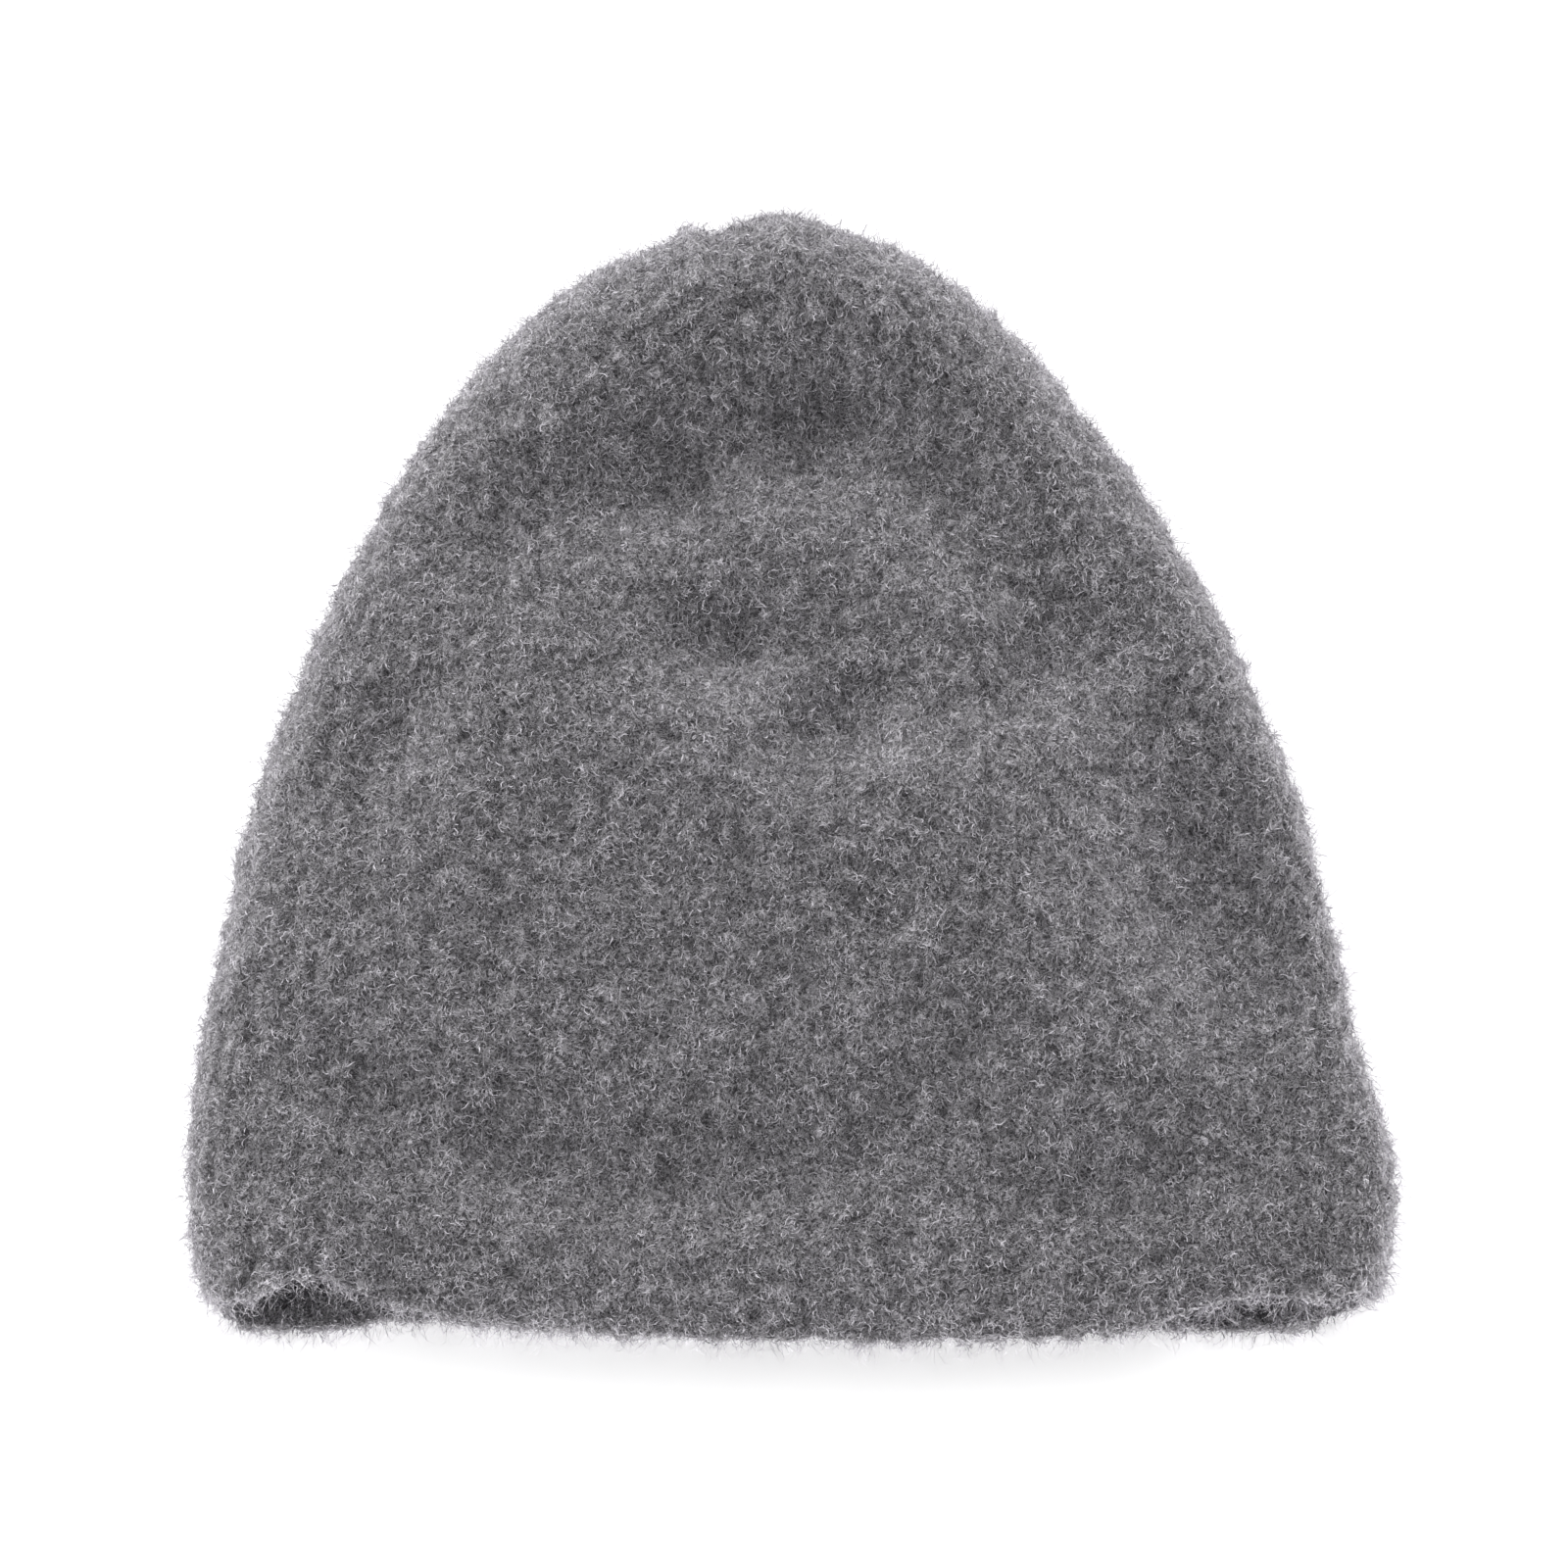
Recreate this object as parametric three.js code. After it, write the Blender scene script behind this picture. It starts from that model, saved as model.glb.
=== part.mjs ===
// A brushed wool knit cap that lies on a flat surface, in millimetres.
// The hem faces -Y, the gathered crown faces +Y, and the lower layer rests on z = 0.
// The cap is one seamless knit: a hollow wall with two layers that meet in the side folds.

import * as THREE from 'three';

// Thickness of the brushed knit.
const WALL = 3.6;
// Outer radius of the fold where the upper layer turns into the lower one.
const FOLD_RADIUS = 8;
// Distance from the folds at which the dents and the lift of the hem reach their full size.
const FOLD_EASE = 12;
// The share of the way to the crown over which the wavy hem evens out.
const HEM_SHARE = 0.24;

// Columns of knit across each layer, and rows from hem to crown.
const UPPER_COLUMNS = 44;
const LOWER_COLUMNS = 24;
const COLUMNS = UPPER_COLUMNS + LOWER_COLUMNS;
const ROWS = 38;
// Rows that round the hem's rim from the outer face to the inner one.
const RIM_ROWS = 3;
// How much closer the rows lie at the hem and at the crown than in the middle.
const ROW_CROWDING = 0.2;
// Straight pieces that stand for the outline when distances to it are measured.
const OUTLINE_STEPS = 520;

// The outline, seen from above, by its reach from a point on the middle line.
// turn is in degrees from +X, and the hem's corners are the first and the last row.
const HUB_Y = -20;
const OUTLINE = [
  { turn: -40, reach: 153.4 },
  { turn: -30, reach: 138.0 },
  { turn: -20, reach: 120.0 },
  { turn: -10, reach: 110.8 },
  { turn: 0, reach: 105.2 },
  { turn: 10, reach: 101.9 },
  { turn: 20, reach: 99.1 },
  { turn: 30, reach: 100.3 },
  { turn: 40, reach: 102.2 },
  { turn: 50, reach: 106.8 },
  { turn: 60, reach: 113.1 },
  { turn: 70, reach: 122.3 },
  { turn: 80, reach: 131.0 },
  { turn: 90, reach: 137.3 },
  { turn: 100, reach: 135.6 },
  { turn: 110, reach: 130.4 },
  { turn: 120, reach: 123.4 },
  { turn: 130, reach: 116.7 },
  { turn: 140, reach: 111.2 },
  { turn: 150, reach: 108.2 },
  { turn: 160, reach: 107.0 },
  { turn: 170, reach: 108.3 },
  { turn: 180, reach: 111.4 },
  { turn: 190, reach: 116.5 },
  { turn: 200, reach: 126.7 },
  { turn: 210, reach: 139.3 },
  { turn: 220, reach: 153.0 },
];
const RIGHT_CORNER = OUTLINE[0].turn;
const LEFT_CORNER = OUTLINE[OUTLINE.length - 1].turn;
const CROWN_TURN = 90;

// Creases where the crown is drawn together: depth at the edge, half width in degrees
// along the edge, and how far each crease runs inwards.
const GATHERS = [
  { turn: 96.2, depth: 1.8, spread: 1.5, run: 20 },
  { turn: 102.9, depth: 2.4, spread: 1.6, run: 22 },
  { turn: 84.5, depth: 0.9, spread: 2.0, run: 14 },
];

// The hem, from the left fold (-1) to the right fold (1): how far each layer's edge is set
// back towards the crown, and how much the upper layer is lifted there.
const HEM = [
  { across: -1.0, upper: 7.0, lower: 7.0, lift: 0.0 },
  { across: -0.95, upper: 4.8, lower: 3.0, lift: 0.4 },
  { across: -0.91, upper: 5.4, lower: 2.2, lift: 1.2 },
  { across: -0.87, upper: 7.8, lower: 2.0, lift: 2.4 },
  { across: -0.8, upper: 8.8, lower: 2.0, lift: 2.8 },
  { across: -0.75, upper: 7.4, lower: 3.2, lift: 1.6 },
  { across: -0.7, upper: 4.4, lower: 4.4, lift: 0.0 },
  { across: -0.64, upper: 3.0, lower: 3.8, lift: -1.0 },
  { across: -0.56, upper: 1.4, lower: 3.4, lift: -1.4 },
  { across: -0.42, upper: -0.6, lower: 3.0, lift: -1.4 },
  { across: -0.2, upper: -2.2, lower: 3.0, lift: -1.4 },
  { across: 0.1, upper: -2.8, lower: 3.0, lift: -1.4 },
  { across: 0.42, upper: -2.6, lower: 3.0, lift: -1.6 },
  { across: 0.6, upper: -1.0, lower: 2.4, lift: -2.2 },
  { across: 0.74, upper: 2.2, lower: 1.6, lift: -3.2 },
  { across: 0.82, upper: 3.8, lower: 2.0, lift: -2.6 },
  { across: 0.88, upper: 4.2, lower: 3.6, lift: -2.0 },
  { across: 0.94, upper: 6.0, lower: 5.8, lift: -0.8 },
  { across: 1.0, upper: 9.6, lower: 9.6, lift: 0.0 },
];

// How far the upper layer swells above the height of its folds, from hem to crown, and
// the distance from the fold within which it gets there.
const SWELL = [
  { fromHem: 0, rise: -0.5, reach: 30 },
  { fromHem: 14, rise: 2.0, reach: 32 },
  { fromHem: 32, rise: 3.0, reach: 36 },
  { fromHem: 60, rise: 6.0, reach: 42 },
  { fromHem: 100, rise: 8.5, reach: 44 },
  { fromHem: 150, rise: 10.0, reach: 40 },
  { fromHem: 190, rise: 11.0, reach: 28 },
  { fromHem: 215, rise: 12.5, reach: 20 },
  { fromHem: 238, rise: 12.5, reach: 18 },
];

// Soft dents of the upper layer. turn is the direction of the long axis in degrees from +X,
// length and width are half sizes, and a negative depth is a puff.
const DENTS = [
  // The valley that arches along the inside of the crown's edge, and the slope behind it.
  { x: -54, y: 45, turn: 58, length: 18, width: 11, depth: 4.2 },
  { x: -25, y: 57, turn: 20, length: 18, width: 13, depth: 8.2 },
  { x: 7, y: 66, turn: 0, length: 15, width: 13, depth: 9.2 },
  { x: 33, y: 54, turn: -48, length: 18, width: 11, depth: 6.8 },
  { x: 49, y: 32, turn: -66, length: 15, width: 9, depth: 3.4 },
  { x: 2, y: 36, turn: 0, length: 50, width: 26, depth: 3.4 },
  // Two dimples and the crease to the right of them.
  { x: -14, y: 20, turn: -10, length: 13, width: 9, depth: 6.6 },
  { x: 9, y: 3, turn: 25, length: 13, width: 9, depth: 7.0 },
  { x: 50, y: 15, turn: 36, length: 19, width: 9, depth: 6.0 },
  // The ridge in front of them, shaped like a wide V.
  { x: -18, y: -9, turn: -50, length: 18, width: 9, depth: -1.2 },
  { x: 28, y: -10, turn: 34, length: 20, width: 9, depth: -1.4 },
  // Hollows beside the folds, and the swell next to the right one.
  { x: 83, y: -30, turn: -71, length: 40, width: 20, depth: 9.4 },
  { x: 44, y: -32, turn: -71, length: 38, width: 18, depth: -2.2 },
  { x: -80, y: 0, turn: 66, length: 15, width: 9, depth: 4.0 },
  // The valley above the hem.
  { x: -88, y: -70, turn: -28, length: 20, width: 9, depth: 2.8 },
  { x: -47, y: -87, turn: -14, length: 24, width: 9, depth: 3.8 },
  { x: -6, y: -87, turn: 10, length: 20, width: 9, depth: 3.6 },
  { x: 26, y: -74, turn: 36, length: 15, width: 9, depth: 2.6 },
  { x: 66, y: -92, turn: 10, length: 24, width: 9, depth: 3.4 },
];

const WOOL = new THREE.MeshStandardMaterial({ color: 0x747276, roughness: 0.95, metalness: 0 });

// A table's column at a place between its rows, on a smooth curve through them.
function between(table, place, at, column) {
  const last = table.length - 1;
  let row = 0;
  while (row < last - 1 && at > table[row + 1][place]) {
    row += 1;
  }
  const here = table[row];
  const next = table[row + 1];
  const before = table[Math.max(row - 1, 0)];
  const after = table[Math.min(row + 2, last)];
  const span = next[place] - here[place];
  const share = THREE.MathUtils.clamp((at - here[place]) / span, 0, 1);
  const slopeHere = (next[column] - before[column]) / (next[place] - before[place]);
  const slopeNext = (after[column] - here[column]) / (after[place] - here[place]);
  const fall = 1 - share;
  return (
    here[column] * fall * fall * (1 + 2 * share)
    + next[column] * share * share * (3 - 2 * share)
    + slopeHere * span * share * fall * fall
    - slopeNext * span * share * share * fall
  );
}

// How deep the gathers cut into the edge in this direction.
function gatherDepth(turn) {
  return GATHERS.reduce(
    (sum, gather) => sum + gather.depth * Math.exp(-(((turn - gather.turn) / gather.spread) ** 2)),
    0,
  );
}

// A point of the outline, seen from above.
function outlinePoint(turn) {
  const reach = between(OUTLINE, 'turn', turn, 'reach') - gatherDepth(turn);
  const angle = THREE.MathUtils.degToRad(turn);
  return new THREE.Vector2(reach * Math.cos(angle), HUB_Y + reach * Math.sin(angle));
}

const outline = Array.from({ length: OUTLINE_STEPS + 1 }, (_, step) =>
  outlinePoint(THREE.MathUtils.lerp(RIGHT_CORNER, LEFT_CORNER, step / OUTLINE_STEPS)));

// Distance from a point to the sides and the crown, seen from above. The hem is open.
function distanceToFold(point) {
  let least = Infinity;
  for (let step = 0; step < OUTLINE_STEPS; step += 1) {
    const start = outline[step];
    const along = outline[step + 1].clone().sub(start);
    const toPoint = point.clone().sub(start);
    const share = THREE.MathUtils.clamp(toPoint.dot(along) / along.lengthSq(), 0, 1);
    least = Math.min(least, toPoint.addScaledVector(along, -share).length());
  }
  return least;
}

// Height of the lower layer's outer face: flat, then round up to the fold.
function lowerHeight(inwards) {
  const reach = Math.max(FOLD_RADIUS - inwards, 0);
  return FOLD_RADIUS - Math.sqrt(FOLD_RADIUS ** 2 - reach ** 2);
}

// The sum of the dents and of the gathers' creases at a point of the upper layer.
function dentDepth(point, inwards) {
  let depth = 0;
  for (const dent of DENTS) {
    const angle = THREE.MathUtils.degToRad(dent.turn);
    const offset = point.clone().sub(new THREE.Vector2(dent.x, dent.y));
    const along = offset.x * Math.cos(angle) + offset.y * Math.sin(angle);
    const across = offset.y * Math.cos(angle) - offset.x * Math.sin(angle);
    depth += dent.depth * Math.exp(-((along / dent.length) ** 2) - (across / dent.width) ** 2);
  }
  const turn = THREE.MathUtils.radToDeg(Math.atan2(point.y - HUB_Y, point.x));
  for (const gather of GATHERS) {
    const off = (turn - gather.turn) / gather.spread;
    depth += gather.depth * Math.exp(-(off ** 2) - (inwards / gather.run) ** 2);
  }
  return depth;
}

// Height of the upper layer's outer face.
function upperHeight(point, inwards, hemShare, lift) {
  const rise = between(SWELL, 'fromHem', point.y - outline[0].y, 'rise');
  const reach = between(SWELL, 'fromHem', point.y - outline[0].y, 'reach');
  const swell = 1 - (1 - Math.min(inwards / reach, 1)) ** 2;
  const ease = THREE.MathUtils.smoothstep(inwards, 0, FOLD_EASE);
  const top = 2 * FOLD_RADIUS - lowerHeight(inwards);
  return top + rise * swell + ease * (lift * hemShare - dentDepth(point, inwards));
}

// Angle from the crown's middle to the ends of a row, in degrees on each side.
function rowTurn(row) {
  const share = row / ROWS;
  const crowded = share - (ROW_CROWDING * Math.sin(2 * Math.PI * share)) / (2 * Math.PI);
  return (CROWN_TURN - RIGHT_CORNER) * (1 - crowded);
}

// A point of the cap's outer face. Columns run from the left fold over the upper layer
// to the right fold and back under the lower layer.
function outerPoint(column, row) {
  const turn = rowTurn(row);
  const left = outlinePoint(CROWN_TURN + turn);
  const right = outlinePoint(CROWN_TURN - turn);
  const upper = column <= UPPER_COLUMNS;
  const across = upper
    ? -Math.cos((Math.PI * column) / UPPER_COLUMNS)
    : Math.cos((Math.PI * (column - UPPER_COLUMNS)) / LOWER_COLUMNS);
  const point = left.clone().lerp(right, (1 + across) / 2);
  const inwards = distanceToFold(point);
  const hemShare = Math.max(1 - row / (ROWS * HEM_SHARE), 0) ** 2;
  const lift = between(HEM, 'across', across, 'lift');
  const height = upper ? upperHeight(point, inwards, hemShare, lift) : lowerHeight(inwards);
  const setback = between(HEM, 'across', across, upper ? 'upper' : 'lower');
  return new THREE.Vector3(point.x, point.y + setback * hemShare, height);
}

// Two triangles for each cell between two rings of points, and a fan up to a last point.
function skinFaces(rings, tip) {
  const faces = [];
  for (let ring = 0; ring < rings.length - 1; ring += 1) {
    for (let column = 0; column < COLUMNS; column += 1) {
      const next = (column + 1) % COLUMNS;
      const [a, b] = [rings[ring][column], rings[ring][next]];
      const [c, d] = [rings[ring + 1][next], rings[ring + 1][column]];
      faces.push(a, b, c, a, c, d);
    }
  }
  const end = rings[rings.length - 1];
  for (let column = 0; column < COLUMNS; column += 1) {
    faces.push(end[column], end[(column + 1) % COLUMNS], tip);
  }
  return faces;
}

function ringNumbers(first) {
  return Array.from({ length: COLUMNS }, (_, column) => first + column);
}

// The outer face as rings of points from hem to crown, then its tip.
function outerSkin() {
  const points = [];
  for (let row = 0; row < ROWS; row += 1) {
    for (let column = 0; column < COLUMNS; column += 1) {
      points.push(outerPoint(column, row));
    }
  }
  const tip = outlinePoint(CROWN_TURN);
  points.push(new THREE.Vector3(tip.x, tip.y, FOLD_RADIUS));
  return points;
}

// Outward directions at the outer face's points, averaged over the faces that meet there.
function outwardDirections(points, faces) {
  const geometry = new THREE.BufferGeometry().setFromPoints(points);
  geometry.setIndex(faces);
  geometry.computeVertexNormals();
  const normals = geometry.getAttribute('normal');
  return points.map((_, index) => new THREE.Vector3().fromBufferAttribute(normals, index));
}

// The whole wall: outer face, round rim at the hem, and the inner face one wall further in.
function knitWall() {
  const outer = outerSkin();
  const rings = Array.from({ length: ROWS }, (_, row) => ringNumbers(row * COLUMNS));
  const outward = outwardDirections(outer, skinFaces(rings, outer.length - 1));
  const inner = outer.map((point, index) => point.clone().addScaledVector(outward[index], -WALL));
  const points = [...outer, ...inner];
  const innerRings = rings.map((ring) => ring.map((index) => index + outer.length));
  const rim = [];
  for (let step = 1; step <= RIM_ROWS; step += 1) {
    const angle = (Math.PI * step) / (RIM_ROWS + 1);
    rim.push(ringNumbers(points.length));
    for (let column = 0; column < COLUMNS; column += 1) {
      const middle = outer[column].clone().lerp(inner[column], (1 - Math.cos(angle)) / 2);
      middle.y -= (WALL / 2) * Math.sin(angle);
      points.push(middle);
    }
  }
  const outerFaces = skinFaces([...rim.toReversed(), ...rings], outer.length - 1);
  const innerFaces = skinFaces([rim.at(-1), ...innerRings], 2 * outer.length - 1);
  return { points, faces: [...outerFaces, ...innerFaces.toReversed()] };
}

function capGeometry() {
  const { points, faces } = knitWall();
  const geometry = new THREE.BufferGeometry().setFromPoints(points);
  geometry.setIndex(faces);
  geometry.computeBoundingBox();
  const { min, max } = geometry.boundingBox;
  geometry.translate(-(min.x + max.x) / 2, -(min.y + max.y) / 2, -min.z);
  geometry.computeVertexNormals();
  return geometry;
}

const cap = new THREE.Group();
const knit = new THREE.Mesh(capGeometry(), WOOL);
knit.name = 'knit_cap';
cap.add(knit);

export default cap;
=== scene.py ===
import math

import bmesh
import bpy
import numpy as np
from bpy.props import FloatProperty, FloatVectorProperty, IntProperty, PointerProperty
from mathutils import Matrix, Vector, noise
from mathutils.bvhtree import BVHTree
from mathutils.kdtree import KDTree


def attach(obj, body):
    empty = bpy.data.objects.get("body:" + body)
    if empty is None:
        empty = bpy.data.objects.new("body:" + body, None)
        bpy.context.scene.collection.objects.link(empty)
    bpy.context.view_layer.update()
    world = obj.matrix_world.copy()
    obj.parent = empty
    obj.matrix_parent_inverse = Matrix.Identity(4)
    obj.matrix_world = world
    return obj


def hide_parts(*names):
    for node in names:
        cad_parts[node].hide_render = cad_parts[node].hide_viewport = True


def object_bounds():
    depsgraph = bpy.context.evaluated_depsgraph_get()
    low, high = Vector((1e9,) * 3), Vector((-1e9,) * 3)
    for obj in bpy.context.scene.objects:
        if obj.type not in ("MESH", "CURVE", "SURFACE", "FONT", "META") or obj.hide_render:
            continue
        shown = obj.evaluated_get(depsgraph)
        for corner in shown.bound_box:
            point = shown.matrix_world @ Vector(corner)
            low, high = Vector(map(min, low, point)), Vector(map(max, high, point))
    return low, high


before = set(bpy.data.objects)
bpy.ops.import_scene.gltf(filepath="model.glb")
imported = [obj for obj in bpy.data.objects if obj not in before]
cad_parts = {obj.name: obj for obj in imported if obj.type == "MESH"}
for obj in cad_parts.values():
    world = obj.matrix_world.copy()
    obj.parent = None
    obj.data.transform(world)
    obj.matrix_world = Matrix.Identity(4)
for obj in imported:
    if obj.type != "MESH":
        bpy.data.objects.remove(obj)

bl_info = {
    "name": "Brushed Wool Knit Cap",
    "version": (1, 0, 0),
    "blender": (4, 5, 0),
    "location": "View3D > Sidebar > Knit Cap",
    "description": "Makes the knit, the brushed nap and the stage of a wool cap that lies flat",
    "category": "Object",
}

CAD_BOX = [list(corner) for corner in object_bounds()]
CAP_NODE = "knit_cap"
CAP_LOW, CAP_HIGH = (Vector(corner) for corner in CAD_BOX)
MILLIMETRE = 0.001

# Small forms that the knit skin adds to the frame's cap. Places are in metres on the frame's
# axes, and a width reaches from a form's middle to where about a third of it is left.
SHARP_DENT = {"x": -0.0155, "y": 0.022, "width_x": 0.009, "width_y": 0.0075, "above": 0.01}
PLEAT = {"x": -0.0155, "width": 0.0017, "start_y": 0.104, "run": 0.012}
PLEAT_PUFF = {"x": -0.0215, "width": 0.0042, "share": 0.7}
LIP_END = {"x": 0.088, "width": 0.017, "start_y": -0.096, "run": 0.018, "start_z": 0.0062,
           "rise": 0.002}

# How often a field is averaged over neighbouring vertices, which are about 1.5 mm apart.
ROUNDS = {"broad form": 220, "steepness": 13, "edges": 12, "dents": 6}

# Where the nap grows, in metres. The side that rests on the table has none, and the inside has
# some just behind the hem.
UNDERSIDE_TOP = 0.0015
INSIDE_NAP_DEPTH = 0.03
FACING_WALL = {"clear": 0.0008, "reach": 0.05}
TUFT_HEIGHTS = (0.0006, 0.0017)
ROOT_DEPTH = 0.00025
LOWEST_FIBRE = 0.0001
LOWEST_EDGE = 0.00005

# Shares that set a fibre's tone: its own chance and its tuft, which vary at random; the relief
# under it, painted shade and light, darker where the knit sinks and lighter where it stands
# out; and how steeply the skin falls there, painted rim light that makes the rims lighter and
# the relief's painted shade stronger there.
TONE = {"start": -0.07, "tuft": 0.15, "relief": 0.24, "painted_rim_relief_shade": 0.2, "painted_rim_light_gain": 1.8,
        "steep": 0.24}

# Lamps, with their places, widths and heights in metres, and the setting that holds the power.
# Those in GLOWS shine up through the table, which doesn't block them.
LAMPS = (
    ("key", (-0.56, 1.55, 0.6), 1.9, 0.5, "key_power"),
    ("side", (-1.67, -0.36, 0.36), 1.6, 0.5, "side_power"),
    ("fill", (-0.62, -0.62, 1.52), 1.2, 1.2, "fill_power"),
    ("rim", (1.5, 0.1, 0.16), 1.4, 0.3, "rim_power"),
)
GLOWS = (
    ("table_glow", (0.0, -0.1, -0.3), 3.0, 3.0, "table_power"),
    ("front_glow", (0.45, -0.9, -0.3), 2.0, 1.0, "front_power"),
)
LAMP_TARGET = (0.0, 0.0, 0.01)
VIEW_MIDDLE = (-0.0014, 0.0, 0.0)

# Coats of fibres from the skin outwards. Lengths and widths are in millimetres, and steps is
# how many straight stretches a fibre's line has. lift is how steeply a fibre leaves the skin,
# droop how far it bends back, curl how far it winds in radians, gather how much its tip is
# drawn to the middle of its tuft, even how like the lengths are, dark and light the ends of its
# range of tone, and reach the part of the cap that the coat covers.
COATS = (
    {"name": "nap_down", "fibres": 50000, "steps": 2, "length": 2.0, "width": 0.28, "lift": 0.35,
     "droop": 1.3, "curl": 0.6, "gather": 0.2, "even": 4.0, "dark": 0.0, "light": 0.85,
     "reach": "all"},
    {"name": "nap_pile_under", "fibres": 75000, "steps": 2, "length": 2.5, "width": 0.24,
     "lift": 0.6, "droop": 1.2, "curl": 1.0, "gather": 0.35, "even": 3.5, "dark": 0.0,
     "light": 0.95, "reach": "all"},
    {"name": "nap_pile_over", "fibres": 48000, "steps": 3, "length": 3.0, "width": 0.2,
     "lift": 1.0, "droop": 1.1, "curl": 2.8, "gather": 0.35, "even": 3.5, "dark": 0.0,
     "light": 0.82, "reach": "all"},
    {"name": "nap_curls", "fibres": 32000, "steps": 4, "length": 3.6, "width": 0.14,
     "lift": 1.1, "droop": 1.0, "curl": 4.4, "gather": 0.15, "even": 5.0, "dark": 0.1,
     "light": 0.7, "reach": "outside"},
    {"name": "nap_halo", "fibres": 46000, "steps": 3, "length": 3.9, "width": 0.085,
     "lift": 1.9, "droop": 0.9, "curl": 3.8, "gather": 0.0, "even": 1.6, "dark": 0.25,
     "light": 0.85, "reach": "rim"},
)


class KnitProperties(bpy.types.PropertyGroup):
    """Sizes and colours of the knit under the nap, with its dents, pleat and lip."""

    bump_size: FloatProperty(
        name="Bump size", description="Width of one knit bump across the cap",
        default=0.0032, min=0.001, unit="LENGTH")
    bump_height: FloatProperty(
        name="Bump height", description="How far the knit bumps stand out",
        default=0.00115, min=0.0, unit="LENGTH")
    rib_width: FloatProperty(
        name="Rib width", description="Distance between the soft columns of the knit",
        default=0.0069, min=0.001, unit="LENGTH")
    rib_height: FloatProperty(
        name="Rib height", description="How far the columns stand out",
        default=0.0002, min=0.0, unit="LENGTH")
    unevenness: FloatProperty(
        name="Unevenness", description="Height of the wide, soft waves of the felted knit",
        default=0.0006, min=0.0, unit="LENGTH")
    nap_room: FloatProperty(
        name="Nap room", description="How far the knit lies back to leave room for the nap",
        default=0.0005, min=0.0, unit="LENGTH")
    dent_gain: FloatProperty(
        name="Dent gain", description="Share by which the cap's soft dents are deepened",
        default=0.38, min=0.0, max=1.0, subtype="FACTOR")
    dent_fill: FloatProperty(
        name="Dent fill", description="How far the sharpest dent, left of the middle, is filled",
        default=0.00055, min=0.0, unit="LENGTH")
    pleat_depth: FloatProperty(
        name="Pleat depth", description="Depth of the short pleat in the crown's edge",
        default=0.0022, min=0.0, unit="LENGTH")
    lip_setback: FloatProperty(
        name="Lip setback", description="How far the upper lip draws back at its right end",
        default=0.0038, min=0.0, unit="LENGTH")
    # The dark yarn is painted shade: a near-black ground that stands in for the shade deep in the
    # pile, seen between the fibres. The light yarn is the colour of the curly strands.
    dark: FloatVectorProperty(
        name="Dark yarn", description="Colour of the pits between the bumps",
        default=(0.04, 0.037, 0.042), subtype="COLOR", min=0.0, max=1.0)
    light: FloatVectorProperty(
        name="Light yarn", description="Colour of the tops of the bumps",
        default=(0.64, 0.617, 0.658), subtype="COLOR", min=0.0, max=1.0)


class NapProperties(bpy.types.PropertyGroup):
    """Sizes and colours of the brushed fibres."""

    tuft_size: FloatProperty(
        name="Tuft size", description="Distance between the middles of neighbouring tufts",
        default=0.0026, min=0.001, unit="LENGTH")
    density: FloatProperty(
        name="Density", description="Share of the full number of fibres",
        default=1.0, min=0.0, max=1.0, subtype="FACTOR")
    dark: FloatVectorProperty(
        name="Dark fibre", description="Colour of the darkest fibres",
        default=(0.028, 0.0265, 0.0295), subtype="COLOR", min=0.0, max=1.0)
    middle: FloatVectorProperty(
        name="Middle fibre", description="Colour of most fibres",
        default=(0.455, 0.438, 0.472), subtype="COLOR", min=0.0, max=1.0)
    light: FloatVectorProperty(
        name="Light fibre", description="Colour of the lightest fibres",
        default=(0.65, 0.628, 0.672), subtype="COLOR", min=0.0, max=1.0)
    seed: IntProperty(
        name="Seed", description="Start of the random order of the fibres", default=5)


class StageProperties(bpy.types.PropertyGroup):
    """The floor, the lights and the camera."""

    floor_size: FloatProperty(
        name="Floor size", description="Side of the floor", default=6.0, unit="LENGTH")
    floor_colour: FloatVectorProperty(
        name="Floor colour", description="Colour of the floor",
        default=(0.9, 0.9, 0.9), subtype="COLOR", min=0.0, max=1.0)
    floor_glow: FloatProperty(
        name="Floor glow", description="Light that the lit sweep gives off by itself",
        default=0.41, min=0.0)
    light_behind: FloatProperty(
        name="Light behind", description="Strength of the even light from the back of the room",
        default=1.85, min=0.0)
    light_before: FloatProperty(
        name="Light in front", description="Strength of the even light from the front",
        default=0.02, min=0.0)
    key_power: FloatProperty(
        name="Key light", description="Power of the low lamp behind the cap",
        default=18.0, min=0.0, unit="POWER")
    side_power: FloatProperty(
        name="Side light", description="Power of the low lamp to the left",
        default=14.0, min=0.0, unit="POWER")
    fill_power: FloatProperty(
        name="Fill light", description="Power of the large lamp high in front, to the left",
        default=6.0, min=0.0, unit="POWER")
    rim_power: FloatProperty(
        name="Rim light", description="Power of the weak lamp low down to the right",
        default=11.0, min=0.0, unit="POWER")
    table_power: FloatProperty(
        name="Table light", description="Power of the wide lamp that shines up through the table",
        default=20.0, min=0.0, unit="POWER")
    front_power: FloatProperty(
        name="Front light", description="Power of the lamp below the table, in front of the hem",
        default=23.0, min=0.0, unit="POWER")
    elevation: FloatProperty(
        name="Camera elevation", description="Angle of the camera above the floor",
        default=math.radians(72.0), subtype="ANGLE")
    distance: FloatProperty(
        name="Camera distance", description="Distance from the camera to the cap",
        default=1.5, unit="LENGTH")
    frame_width: FloatProperty(
        name="Frame width", description="Width of the picture at the cap",
        default=0.32, unit="LENGTH")


def finish_piece(name, mesh):
    """Links a mesh as a piece of the cap that rides on the frame's one body."""
    piece = bpy.data.objects.new(name, mesh)
    bpy.context.scene.collection.objects.link(piece)
    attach(piece, "root")
    return piece


def new_material(name):
    """A material that uses nodes, with its nodes and its links."""
    material = bpy.data.materials.new(name)
    material.use_nodes = True
    return material, material.node_tree.nodes, material.node_tree.links


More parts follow.
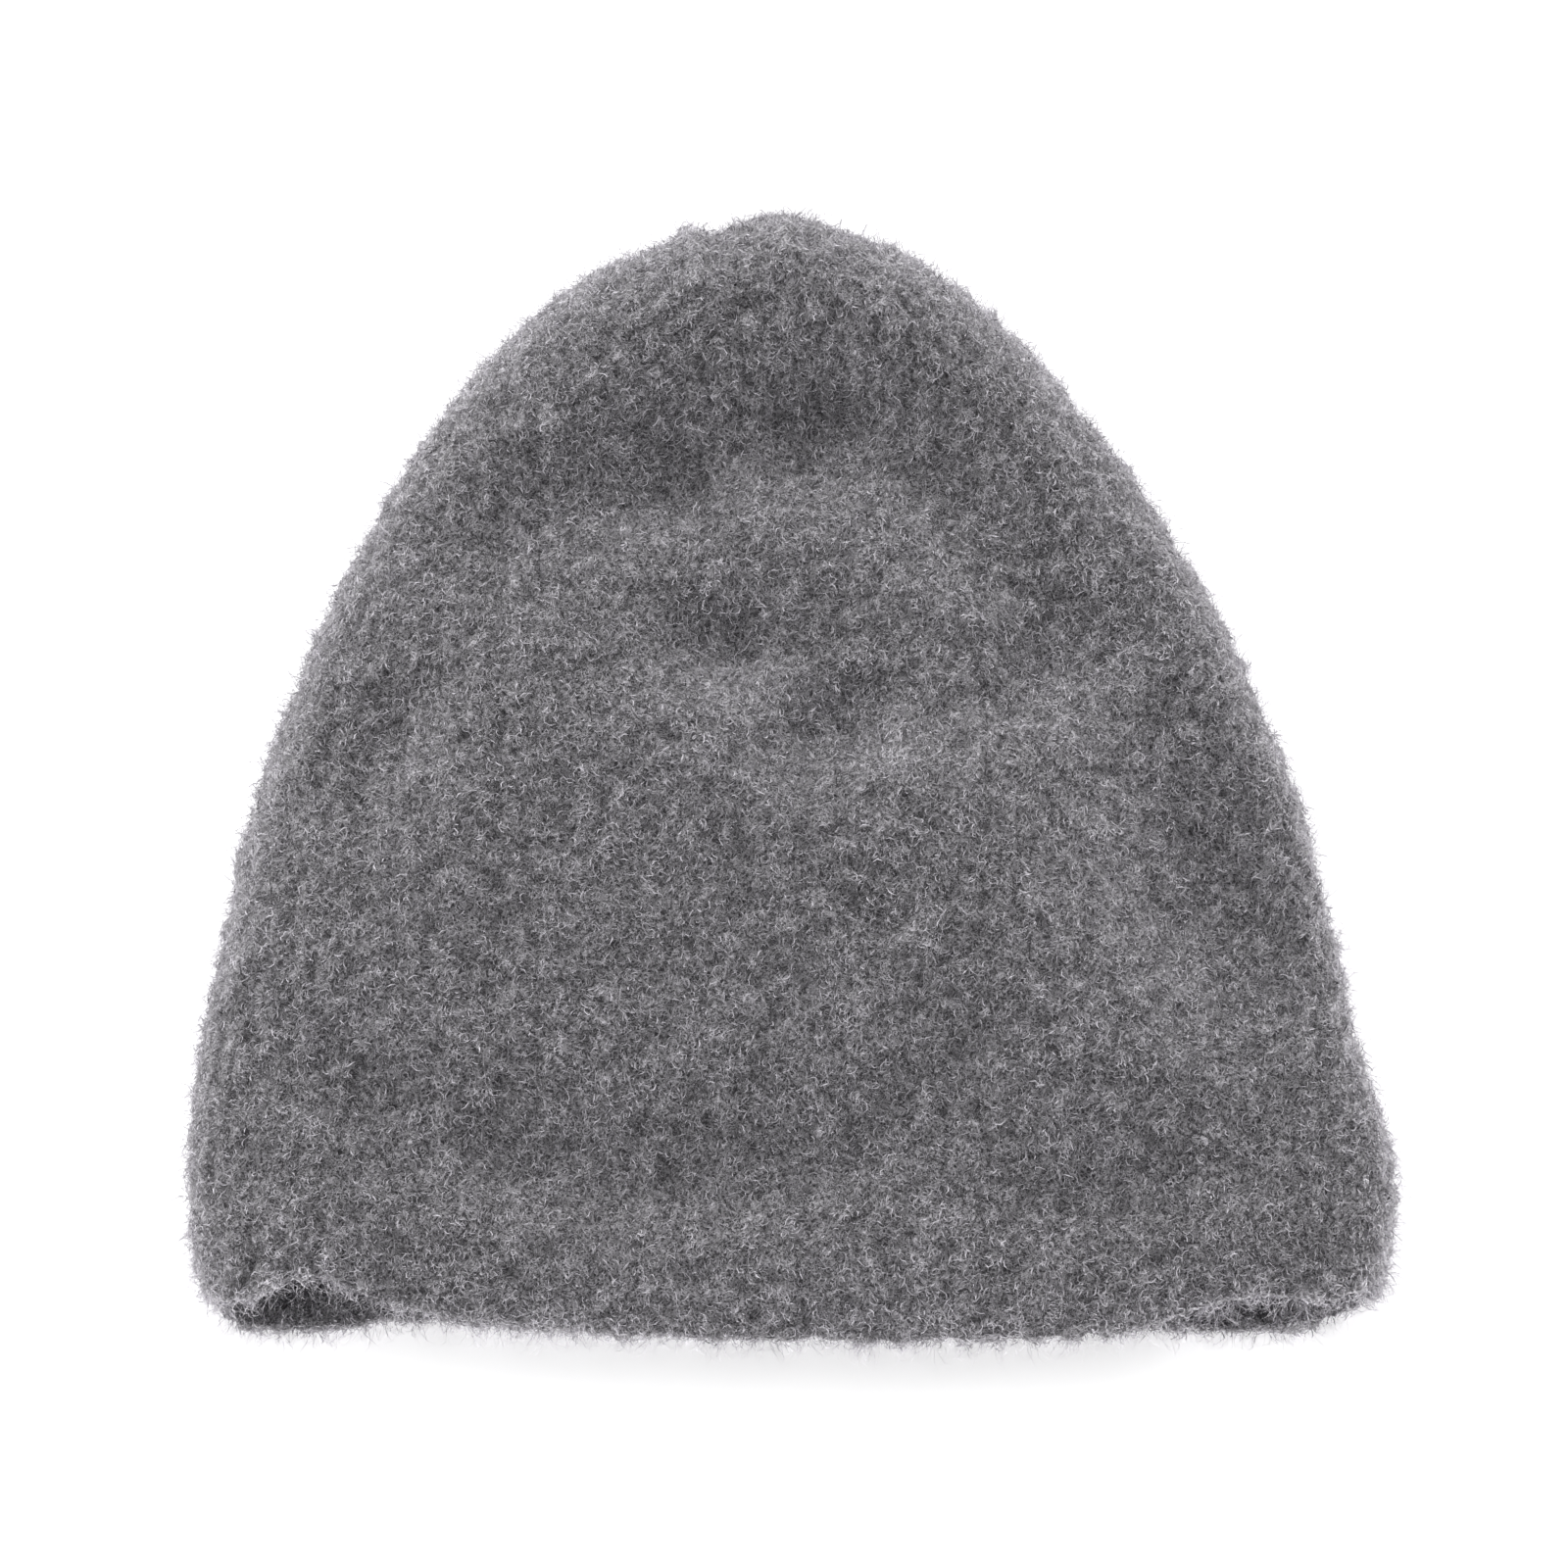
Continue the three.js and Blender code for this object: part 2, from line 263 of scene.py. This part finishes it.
def set_wool_shader(shader):
    """The finish that the knit and the fibres share: matt, with a soft sheen."""
    shader.inputs["Roughness"].default_value = 0.88
    shader.inputs["Specular IOR Level"].default_value = 0.25
    shader.inputs["Sheen Weight"].default_value = 0.4
    shader.inputs["Sheen Roughness"].default_value = 0.55


def strand_nodes(nodes, links, place, scale, offset):
    """Curly lines, one wide over a dark ground, where a noise crosses its middle value."""
    shift = nodes.new("ShaderNodeMapping")
    shift.inputs["Location"].default_value = (offset, offset, offset)
    field = nodes.new("ShaderNodeTexNoise")
    field.inputs["Scale"].default_value = scale
    field.inputs["Detail"].default_value = 1.5
    field.inputs["Distortion"].default_value = 0.9
    centred = nodes.new("ShaderNodeMath")
    centred.operation = "SUBTRACT"
    centred.inputs[1].default_value = 0.5
    distance = nodes.new("ShaderNodeMath")
    distance.operation = "ABSOLUTE"
    line = nodes.new("ShaderNodeMapRange")
    line.inputs["From Max"].default_value = 0.07
    line.inputs["To Min"].default_value = 1.0
    line.inputs["To Max"].default_value = 0.0
    links.new(place, shift.inputs["Vector"])
    links.new(shift.outputs["Vector"], field.inputs["Vector"])
    links.new(field.outputs["Fac"], centred.inputs[0])
    links.new(centred.outputs["Value"], distance.inputs[0])
    links.new(distance.outputs["Value"], line.inputs["Value"])
    return line.outputs["Result"]


def knit_material(knit):
    """Light curly strands over a near-black ground that is painted shade of the pile's depths,
    with a fibrous relief and painted light where the skin falls steeply.
    """
    material, nodes, links = new_material("wool_knit")
    shader = nodes["Principled BSDF"]
    set_wool_shader(shader)
    place = nodes.new("ShaderNodeTexCoord").outputs["Object"]
    wide = strand_nodes(nodes, links, place, 700.0, 0.0)
    fine = strand_nodes(nodes, links, place, 1200.0, 0.37)
    both = nodes.new("ShaderNodeMath")
    both.operation = "MAXIMUM"
    patches = nodes.new("ShaderNodeTexNoise")
    patches.inputs["Scale"].default_value = 330.0
    patches.inputs["Detail"].default_value = 3.0
    strength = nodes.new("ShaderNodeMath")
    strength.operation = "MULTIPLY"
    # Painted rim light: the knit is made lighter where its skin falls steeply.
    steep = nodes.new("ShaderNodeAttribute")
    steep.attribute_name = "steep"
    painted_rim_light = nodes.new("ShaderNodeMath")
    painted_rim_light.operation = "MULTIPLY_ADD"
    painted_rim_light.inputs[1].default_value = 0.3
    ramp = nodes.new("ShaderNodeValToRGB")
    ramp.color_ramp.elements[1].position = 0.7
    ramp.color_ramp.elements[0].color = (*knit.dark, 1.0)
    ramp.color_ramp.elements[1].color = (*knit.light, 1.0)
    bump = nodes.new("ShaderNodeBump")
    bump.inputs["Strength"].default_value = 0.9
    bump.inputs["Distance"].default_value = 0.0004
    links.new(wide, both.inputs[0])
    links.new(fine, both.inputs[1])
    links.new(both.outputs["Value"], strength.inputs[0])
    links.new(patches.outputs["Fac"], strength.inputs[1])
    links.new(place, patches.inputs["Vector"])
    links.new(steep.outputs["Fac"], painted_rim_light.inputs[0])
    links.new(strength.outputs["Value"], painted_rim_light.inputs[2])
    links.new(painted_rim_light.outputs["Value"], ramp.inputs["Fac"])
    links.new(ramp.outputs["Color"], shader.inputs["Base Color"])
    links.new(both.outputs["Value"], bump.inputs["Height"])
    links.new(bump.outputs["Normal"], shader.inputs["Normal"])
    return material


def nap_material(nap):
    """Fibres from dark to light grey by their own tone, which carries painted rim light and relief
    shade, with painted shade towards the root and painted light towards the tip.
    """
    material, nodes, links = new_material("wool_nap")
    shader = nodes["Principled BSDF"]
    set_wool_shader(shader)
    tone = nodes.new("ShaderNodeAttribute")
    tone.attribute_name = "tone"
    ramp = nodes.new("ShaderNodeValToRGB")
    ramp.color_ramp.elements[0].color = (*nap.dark, 1.0)
    ramp.color_ramp.elements[1].color = (*nap.light, 1.0)
    middle = ramp.color_ramp.elements.new(0.5)
    middle.color = (*nap.middle, 1.0)
    along = nodes.new("ShaderNodeAttribute")
    along.attribute_name = "along"
    # Painted shade towards the root and painted light towards the tip: each fibre's colour is
    # scaled by its place along it.
    depth = nodes.new("ShaderNodeMapRange")
    depth.inputs["To Min"].default_value = 0.3
    depth.inputs["To Max"].default_value = 1.42
    shade = nodes.new("ShaderNodeMix")
    shade.data_type = "RGBA"
    shade.blend_type = "MULTIPLY"
    shade.inputs["Factor"].default_value = 1.0
    shade.clamp_result = True
    links.new(tone.outputs["Fac"], ramp.inputs["Fac"])
    links.new(along.outputs["Fac"], depth.inputs["Value"])
    links.new(ramp.outputs["Color"], shade.inputs[6])
    links.new(depth.outputs["Result"], shade.inputs[7])
    links.new(shade.outputs[2], shader.inputs["Base Color"])
    return material


def subdivided_cap(levels):
    """A merged copy of the frame's cap, subdivided into a smooth mesh of its own."""
    work = bmesh.new()
    work.from_mesh(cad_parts[CAP_NODE].data)
    bmesh.ops.remove_doubles(work, verts=work.verts, dist=1e-5)
    bmesh.ops.join_triangles(
        work, faces=work.faces, angle_face_threshold=0.7, angle_shape_threshold=1.5)
    coarse = bpy.data.meshes.new("knit_shell_coarse")
    work.to_mesh(coarse)
    work.free()
    holder = bpy.data.objects.new("knit_shell_coarse", coarse)
    bpy.context.scene.collection.objects.link(holder)
    smooth = holder.modifiers.new("Smooth", "SUBSURF")
    smooth.levels = smooth.render_levels = levels
    bpy.context.view_layer.update()
    shown = holder.evaluated_get(bpy.context.evaluated_depsgraph_get())
    mesh = bpy.data.meshes.new_from_object(shown)
    bpy.data.objects.remove(holder)
    bpy.data.meshes.remove(coarse)
    mesh.name = "knit_shell"
    mesh.shade_smooth()
    return mesh


def read_vectors(items, field):
    """A mesh field of three numbers an item, as rows of an array."""
    values = np.empty(len(items) * 3)
    items.foreach_get(field, values)
    return values.reshape(-1, 3)


def unit(vectors):
    """The same directions, one long."""
    length = np.linalg.norm(vectors, axis=-1, keepdims=True)
    return vectors / np.maximum(length, 1e-12)


def spread(values, mesh, rounds):
    """Values at the vertices, each averaged with its neighbours a few times."""
    ends = np.empty(len(mesh.edges) * 2, np.int32)
    mesh.edges.foreach_get("vertices", ends)
    first, second = ends[::2], ends[1::2]
    here, there = np.concatenate([first, second]), np.concatenate([second, first])
    near = np.bincount(here, minlength=len(values)) + 1
    for _ in range(rounds):
        values = (values + np.bincount(here, values[there], len(values))) / near
    return values


def hill(values, middle, width):
    """A soft hill over the values, 1 high at its middle."""
    return np.exp(-((values - middle) / width) ** 2)


def ramp_up(values, start, run):
    """0 up to the start, then rising evenly to 1."""
    return np.clip((values - start) / run, 0.0, 1.0)


def knit_relief(points, knit):
    """The knit's bumps and columns and the felt's waves at the points, before their heights."""
    across = knit.bump_size
    columns = 2.0 * math.pi / knit.rib_width
    bumps, ribs, waves = np.empty((3, len(points)))
    for index, (x, y, z) in enumerate(points):
        place = Vector((x / across, y / (1.25 * across), z / across))
        wide = Vector((x / (3 * across) + 3.0, y / (5 * across), z / (3 * across)))
        ridge = abs(noise.noise(place)) ** 0.7
        bumps[index] = 2.4 * ridge + 0.5 * noise.noise(2.1 * place) - 0.8
        waves[index] = noise.noise(wide)
        ribs[index] = math.cos(columns * x + 0.4 * waves[index])
    return bumps, ribs, waves


def dent_heights(mesh, points, upward, steep, knit):
    """Heights that deepen the soft dents of the upper layer and fill the sharpest one a little."""
    dents = points[:, 2] - spread(points[:, 2], mesh, ROUNDS["broad form"])
    dents *= np.clip(upward * 2.0 - 1.0, 0.0, 1.0)
    dents *= np.clip(1.0 - 4.0 * spread(steep, mesh, ROUNDS["edges"]), 0.0, 1.0)
    across = (points[:, 0] - SHARP_DENT["x"]) / SHARP_DENT["width_x"]
    along = (points[:, 1] - SHARP_DENT["y"]) / SHARP_DENT["width_y"]
    on_top = (points[:, 2] > SHARP_DENT["above"]) & (upward > 0.5)
    filling = np.exp(-(across ** 2 + along ** 2)) * on_top
    return knit.dent_gain * spread(dents, mesh, ROUNDS["dents"]) + knit.dent_fill * filling


def shape_edges(points, knit):
    """Draws in the pleat in the crown's edge, and draws back the right end of the upper lip."""
    pleat = hill(points[:, 0], PLEAT["x"], PLEAT["width"])
    pleat -= PLEAT_PUFF["share"] * hill(points[:, 0], PLEAT_PUFF["x"], PLEAT_PUFF["width"])
    pleat *= ramp_up(points[:, 1], PLEAT["start_y"], PLEAT["run"])
    points[:, 1] -= knit.pleat_depth * pleat
    lip = hill(points[:, 0], LIP_END["x"], LIP_END["width"])
    lip *= ramp_up(-points[:, 1], -LIP_END["start_y"], LIP_END["run"])
    lip *= ramp_up(points[:, 2], LIP_END["start_z"], LIP_END["rise"])
    points[:, 1] += knit.lip_setback * lip


def raise_relief(mesh, knit):
    """Gives the skin its relief, dents and edges, and keeps its relief and steepness."""
    points = read_vectors(mesh.vertices, "co")
    outward = read_vectors(mesh.vertices, "normal")
    bumps, ribs, waves = knit_relief(points, knit)
    steep = spread(1.0 - np.abs(outward[:, 2]), mesh, ROUNDS["steepness"])
    room = knit.nap_room * (1.0 - 0.8 * steep)
    heights = knit.bump_height * bumps + knit.rib_height * ribs + knit.unevenness * waves - room
    heights += dent_heights(mesh, points, outward[:, 2], steep, knit)
    points += outward * heights[:, None]
    points[:, 2] = np.maximum(points[:, 2], 0.0)
    shape_edges(points, knit)
    mesh.vertices.foreach_set("co", points.ravel())
    # The relief and steepness kept here later set painted shade and painted rim light in the
    # colours.
    fields = {"relief": bumps + 0.2 * ribs + 0.8 * waves, "steep": steep}
    for field, values in fields.items():
        attribute = mesh.attributes.new(field, "FLOAT", "POINT")
        attribute.data.foreach_set("value", values.astype(np.float32))
    mesh.update()


class Skin:
    """The cap's skin as arrays, to scatter fibres on."""

    def __init__(self, mesh):
        mesh.calc_loop_triangles()
        corners = np.empty(len(mesh.loop_triangles) * 3, np.int32)
        mesh.loop_triangles.foreach_get("vertices", corners)
        self.corners = corners.reshape(-1, 3)
        self.points = read_vectors(mesh.vertices, "co")
        self.normals = read_vectors(mesh.vertices, "normal")
        fields = np.empty((2, len(mesh.vertices)))
        for field, values in zip(("relief", "steep"), fields):
            mesh.attributes[field].data.foreach_get("value", values)
        self.fields = fields.T
        a, b, c = (self.points[self.corners[:, side]] for side in range(3))
        faces = np.cross(b - a, c - a)
        self.areas = np.linalg.norm(faces, axis=1) / 2
        self.facing = unit(faces)
        self.middles = (a + b + c) / 3
        self.inside = self.find_inside()

    def find_inside(self):
        """Which triangles look at another part of the cap within a few centimetres."""
        tree = BVHTree.FromPolygons(self.points.tolist(), self.corners.tolist())
        inside = np.zeros(len(self.corners), bool)
        for index, (middle, facing) in enumerate(zip(self.middles, self.facing)):
            outward = Vector(facing)
            start = Vector(middle) + outward * FACING_WALL["clear"]
            hit = tree.ray_cast(start, outward, FACING_WALL["reach"])[0]
            inside[index] = hit is not None
        return inside

    def shares(self, reach):
        """The share of a coat's fibres that each triangle gets, which is none underneath."""
        share = self.areas.copy()
        underside = (self.facing[:, 2] < -0.9) & (self.middles[:, 2] < UNDERSIDE_TOP)
        share[~self.inside & underside] = 0.0
        behind_hem = self.middles[:, 1] - CAP_LOW.y
        share[self.inside & (behind_hem > INSIDE_NAP_DEPTH)] = 0.0
        if reach != "all":
            share[self.inside] *= 0.25
        if reach == "rim":
            front = np.clip(-self.facing[:, 1] - 0.4, 0.0, 1.0)
            steep = self.fields[self.corners, 1].mean(1)
            share *= (0.3 + 2.5 * steep) * (1.0 + 8.0 * front)
        return share / share.sum()

    def scatter(self, count, rng, reach):
        """Points spread over the skin, with their outward directions, relief and steepness."""
        pick = rng.choice(len(self.corners), count, p=self.shares(reach))
        first, second = np.sqrt(rng.random(count)), rng.random(count)
        weights = np.stack([1 - first, first * (1 - second), first * second], 1)
        corners = self.corners[pick]
        points = (self.points[corners] * weights[:, :, None]).sum(1)
        normals = (self.normals[corners] * weights[:, :, None]).sum(1)
        fields = (self.fields[corners] * weights[:, :, None]).sum(1)
        return points, unit(normals), fields[:, 0], fields[:, 1]


def tufts_on(skin, nap, rng):
    """Middles, leans and tones of the tufts, and a tree that finds the nearest one."""
    count = int(skin.areas[~skin.inside].sum() / nap.tuft_size ** 2)
    middles, normals, _, _ = skin.scatter(count, rng, "all")
    tree = KDTree(count)
    for index, middle in enumerate(middles):
        tree.insert(middle, index)
    tree.balance()
    tops = middles + normals * rng.uniform(*TUFT_HEIGHTS, count)[:, None]
    return tree, tops, rng.normal(size=(count, 3)), rng.normal(0.0, 1.0, count)


def fibre_paths(coat, count, skin, tufts, rng):
    """The middle lines of one coat's fibres, with their widths and tones."""
    roots, outward, relief, steep = skin.scatter(count, rng, coat["reach"])
    tree, tops, leans, tuft_tones = tufts
    tuft = np.array([tree.find(root)[1] for root in roots])
    lean = rng.normal(size=(count, 3)) * (1.0, 2.0, 1.0) + 0.9 * leans[tuft]
    along = unit(lean - outward * (lean * outward).sum(1)[:, None])
    sideways = np.cross(outward, along)
    steps = coat["steps"]
    even = coat["even"]
    length = coat["length"] * MILLIMETRE * np.clip(rng.gamma(even, 1 / even, count), 0.25, 1.8)
    lift = coat["lift"] * rng.gamma(2.0, 0.5, count)
    if coat["reach"] != "rim":
        lift *= 1.0 - 0.4 * steep
        length *= 1.0 - 0.1 * steep
    curl = coat["curl"] * rng.uniform(0.4, 1.2, count) * rng.choice([-1.0, 1.0], count)
    place = roots - outward * ROOT_DEPTH
    path = [place]
    for step in range(steps):
        share = (step + 0.5) / steps
        turn = curl * (share - 0.5)
        rise = lift * (1.0 - coat["droop"] * share)
        heading = unit(
            along * np.cos(turn)[:, None] + sideways * np.sin(turn)[:, None]
            + outward * rise[:, None])
        place = place + heading * (length / steps)[:, None]
        drawn = coat["gather"] * (step + 1) / steps
        path.append(place + (tops[tuft] - place) * drawn)
    path = np.stack(path, 1)
    path[:, :, 2] = np.maximum(path[:, :, 2], LOWEST_FIBRE)
    width = coat["width"] * MILLIMETRE * rng.uniform(0.7, 1.25, count)
    tone = rng.random(count) + TONE["start"] + TONE["tuft"] * tuft_tones[tuft]
    # Painted shade and light: fibres are darker over the knit's pits and troughs and lighter over
    # its bumps, more so on steep skin.
    tone += (TONE["relief"] + TONE["painted_rim_relief_shade"] * steep) * relief
    # Painted rim light: fibres on steep skin are made lighter, where the rims catch light.
    tone = tone * (1.0 + TONE["painted_rim_light_gain"] * steep) + TONE["steep"] * steep
    tone = coat["dark"] + (coat["light"] - coat["dark"]) * np.clip(tone, 0.0, 1.0)
    return path, width, tone


def fibre_mesh(name, path, width, tone, rng):
    """One mesh of thin blades along the paths, pointed at both ends.

    Its map holds a fibre's tone across and the place along it upwards, the only two values that
    the colour follows.
    """
    count, stops = path.shape[:2]
    heading = unit(path[:, 2:] - path[:, :-2])
    across = unit(np.cross(heading, unit(rng.normal(size=(count, 1, 3)))))
    half = across * (width / 2)[:, None, None]
    inner = path[:, 1:-1]
    sides = np.stack([inner - half, inner + half], 2).reshape(count, -1, 3)
    points = np.concatenate([path[:, :1], sides, path[:, -1:]], 1)
    points[:, :, 2] = np.maximum(points[:, :, 2], LOWEST_EDGE)
    each = points.shape[1]
    faces = [(0, 1, 2)]
    for stop in range(stops - 3):
        left, right = 1 + 2 * stop, 2 + 2 * stop
        faces += [(left, left + 2, right + 2), (left, right + 2, right)]
    faces.append((each - 3, each - 1, each - 2))
    faces = np.array(faces)[None] + (np.arange(count) * each)[:, None, None]
    corners = faces.reshape(-1).astype(np.int32)
    mesh = bpy.data.meshes.new(name)
    mesh.vertices.add(count * each)
    mesh.vertices.foreach_set("co", points.ravel().astype(np.float32))
    mesh.loops.add(len(corners))
    mesh.loops.foreach_set("vertex_index", corners)
    mesh.polygons.add(len(corners) // 3)
    mesh.polygons.foreach_set("loop_start", np.arange(0, len(corners), 3, dtype=np.int32))
    mesh.update(calc_edges=True)
    mesh.shade_smooth()
    along = np.concatenate([[0.0], np.repeat(np.arange(1, stops - 1) / (stops - 1), 2), [1.0]])
    side = np.concatenate([[0.0], np.tile([-1.0, 1.0], stops - 2), [0.0]])
    tones = np.repeat(tone, each)
    shares = np.tile(along, count)
    for field, values in (("tone", tones), ("along", shares)):
        attribute = mesh.attributes.new(field, "FLOAT", "POINT")
        attribute.data.foreach_set("value", values.astype(np.float32))
    sliver = 0.004 * np.tile(side, count)
    spots = np.stack([0.02 + 0.96 * tones + sliver, 0.02 + 0.96 * shares], 1)
    layer = mesh.uv_layers.new(name="OFBake")
    layer.uv.foreach_set("vector", spots[corners].ravel().astype(np.float32))
    return mesh


class CAPKNIT_OT_knit(bpy.types.Operator):
    """Makes the knit skin from the frame's cap"""

    bl_idname = "capknit.knit"
    bl_label = "Make the knit"
    bl_options = {"REGISTER", "UNDO"}

    def execute(self, context):
        knit = context.scene.capknit_knit
        mesh = subdivided_cap(levels=2)
        raise_relief(mesh, knit)
        mesh.materials.clear()
        mesh.materials.append(knit_material(knit))
        piece = finish_piece("knit_shell", mesh)
        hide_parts(CAP_NODE)
        return {"FINISHED"}


class CAPKNIT_OT_nap(bpy.types.Operator):
    """Covers the knit with coats of brushed fibres"""

    bl_idname = "capknit.nap"
    bl_label = "Brush up the nap"
    bl_options = {"REGISTER", "UNDO"}

    def execute(self, context):
        nap = context.scene.capknit_nap
        shell = bpy.data.objects.get("knit_shell")
        if shell is None:
            raise RuntimeError("make the knit before the nap")
        skin = Skin(shell.data)
        rng = np.random.default_rng(nap.seed)
        tufts = tufts_on(skin, nap, rng)
        material = nap_material(nap)
        for coat in COATS:
            count = int(coat["fibres"] * nap.density)
            if not count:
                continue
            path, width, tone = fibre_paths(coat, count, skin, tufts, rng)
            mesh = fibre_mesh(coat["name"], path, width, tone, rng)
            mesh.materials.append(material)
            finish_piece(coat["name"], mesh)
        return {"FINISHED"}


def aim(item, target):
    """Turns a lamp or camera so that it looks at a point."""
    item.rotation_euler = (item.location - Vector(target)).to_track_quat("Z", "Y").to_euler()


def add_lamp(stage, name, place, width, height, setting):
    """A soft lamp that looks at the cap, with its power from a setting of the stage."""
    lamp = bpy.data.lights.new(name, "AREA")
    lamp.shape = "RECTANGLE"
    lamp.size = width
    lamp.size_y = height
    lamp.energy = getattr(stage, setting)
    item = bpy.data.objects.new(name, lamp)
    item.location = place
    bpy.context.scene.collection.objects.link(item)
    aim(item, LAMP_TARGET)
    return item


def studio_world(stage):
    """Even light that grows from the front of the room to the back."""
    world = bpy.data.worlds.new("studio")
    world.use_nodes = True
    nodes, links = world.node_tree.nodes, world.node_tree.links
    place = nodes.new("ShaderNodeTexCoord")
    parts = nodes.new("ShaderNodeSeparateXYZ")
    fade = nodes.new("ShaderNodeMapRange")
    fade.inputs["From Min"].default_value = -0.3
    fade.inputs["From Max"].default_value = 0.6
    fade.inputs["To Min"].default_value = stage.light_before
    fade.inputs["To Max"].default_value = stage.light_behind
    links.new(place.outputs["Generated"], parts.inputs["Vector"])
    links.new(parts.outputs["Y"], fade.inputs["Value"])
    links.new(fade.outputs["Result"], nodes["Background"].inputs["Strength"])
    nodes["Background"].inputs["Color"].default_value = (1.0, 1.0, 1.0, 1.0)
    return world


class CAPKNIT_OT_stage(bpy.types.Operator):
    """Sets the floor, the lights and the camera"""

    bl_idname = "capknit.stage"
    bl_label = "Set the stage"
    bl_options = {"REGISTER", "UNDO"}

    def execute(self, context):
        scene = context.scene
        stage = scene.capknit_stage
        work = bmesh.new()
        bmesh.ops.create_grid(work, x_segments=1, y_segments=1, size=stage.floor_size / 2)
        mesh = bpy.data.meshes.new("floor")
        work.to_mesh(mesh)
        work.free()
        material, nodes, _ = new_material("floor_paper")
        shader = nodes["Principled BSDF"]
        shader.inputs["Base Color"].default_value = (*stage.floor_colour, 1.0)
        shader.inputs["Roughness"].default_value = 0.9
        shader.inputs["Specular IOR Level"].default_value = 0.0
        shader.inputs["Emission Color"].default_value = (1.0, 1.0, 1.0, 1.0)
        shader.inputs["Emission Strength"].default_value = stage.floor_glow
        mesh.materials.append(material)
        floor = bpy.data.objects.new("floor", mesh)
        scene.collection.objects.link(floor)
        scene.world = studio_world(stage)
        for lamp in LAMPS:
            add_lamp(stage, *lamp)
        clear_table = bpy.data.collections.new("clear_table")
        clear_table.objects.link(floor)
        clear_table.collection_objects[0].light_linking.link_state = "EXCLUDE"
        for glow in GLOWS:
            add_lamp(stage, *glow).light_linking.blocker_collection = clear_table
        camera = bpy.data.cameras.new("camera")
        camera.sensor_width = 36.0
        camera.lens = camera.sensor_width * stage.distance / stage.frame_width
        item = bpy.data.objects.new("camera", camera)
        scene.collection.objects.link(item)
        middle = Vector(VIEW_MIDDLE)
        back = Vector((0.0, -math.cos(stage.elevation), math.sin(stage.elevation)))
        item.location = middle + back * stage.distance
        aim(item, middle)
        scene.camera = item
        scene.view_settings.view_transform = "Standard"
        return {"FINISHED"}


class CAPKNIT_PT_panel(bpy.types.Panel):
    """Lists the steps that make the cap"""

    bl_label = "Knit Cap"
    bl_idname = "CAPKNIT_PT_panel"
    bl_space_type = "VIEW_3D"
    bl_region_type = "UI"
    bl_category = "Knit Cap"

    def draw(self, context):
        for step, group in STEPS:
            box = self.layout.box()
            box.operator(step.bl_idname)
            settings = getattr(context.scene, group)
            for field in settings.__annotations__:
                box.prop(settings, field)


STEPS = (
    (CAPKNIT_OT_knit, "capknit_knit"),
    (CAPKNIT_OT_nap, "capknit_nap"),
    (CAPKNIT_OT_stage, "capknit_stage"),
)
GROUPS = {
    "capknit_knit": KnitProperties,
    "capknit_nap": NapProperties,
    "capknit_stage": StageProperties,
}
CLASSES = (*GROUPS.values(), *(step for step, _ in STEPS), CAPKNIT_PT_panel)


def register():
    for item in CLASSES:
        bpy.utils.register_class(item)
    for name, group in GROUPS.items():
        setattr(bpy.types.Scene, name, PointerProperty(type=group))


def unregister():
    for name in GROUPS:
        delattr(bpy.types.Scene, name)
    for item in reversed(CLASSES):
        bpy.utils.unregister_class(item)


def main():
    register()
    bpy.ops.capknit.knit()
    bpy.ops.capknit.nap()
    bpy.ops.capknit.stage()


if __name__ == "__main__":
    main()
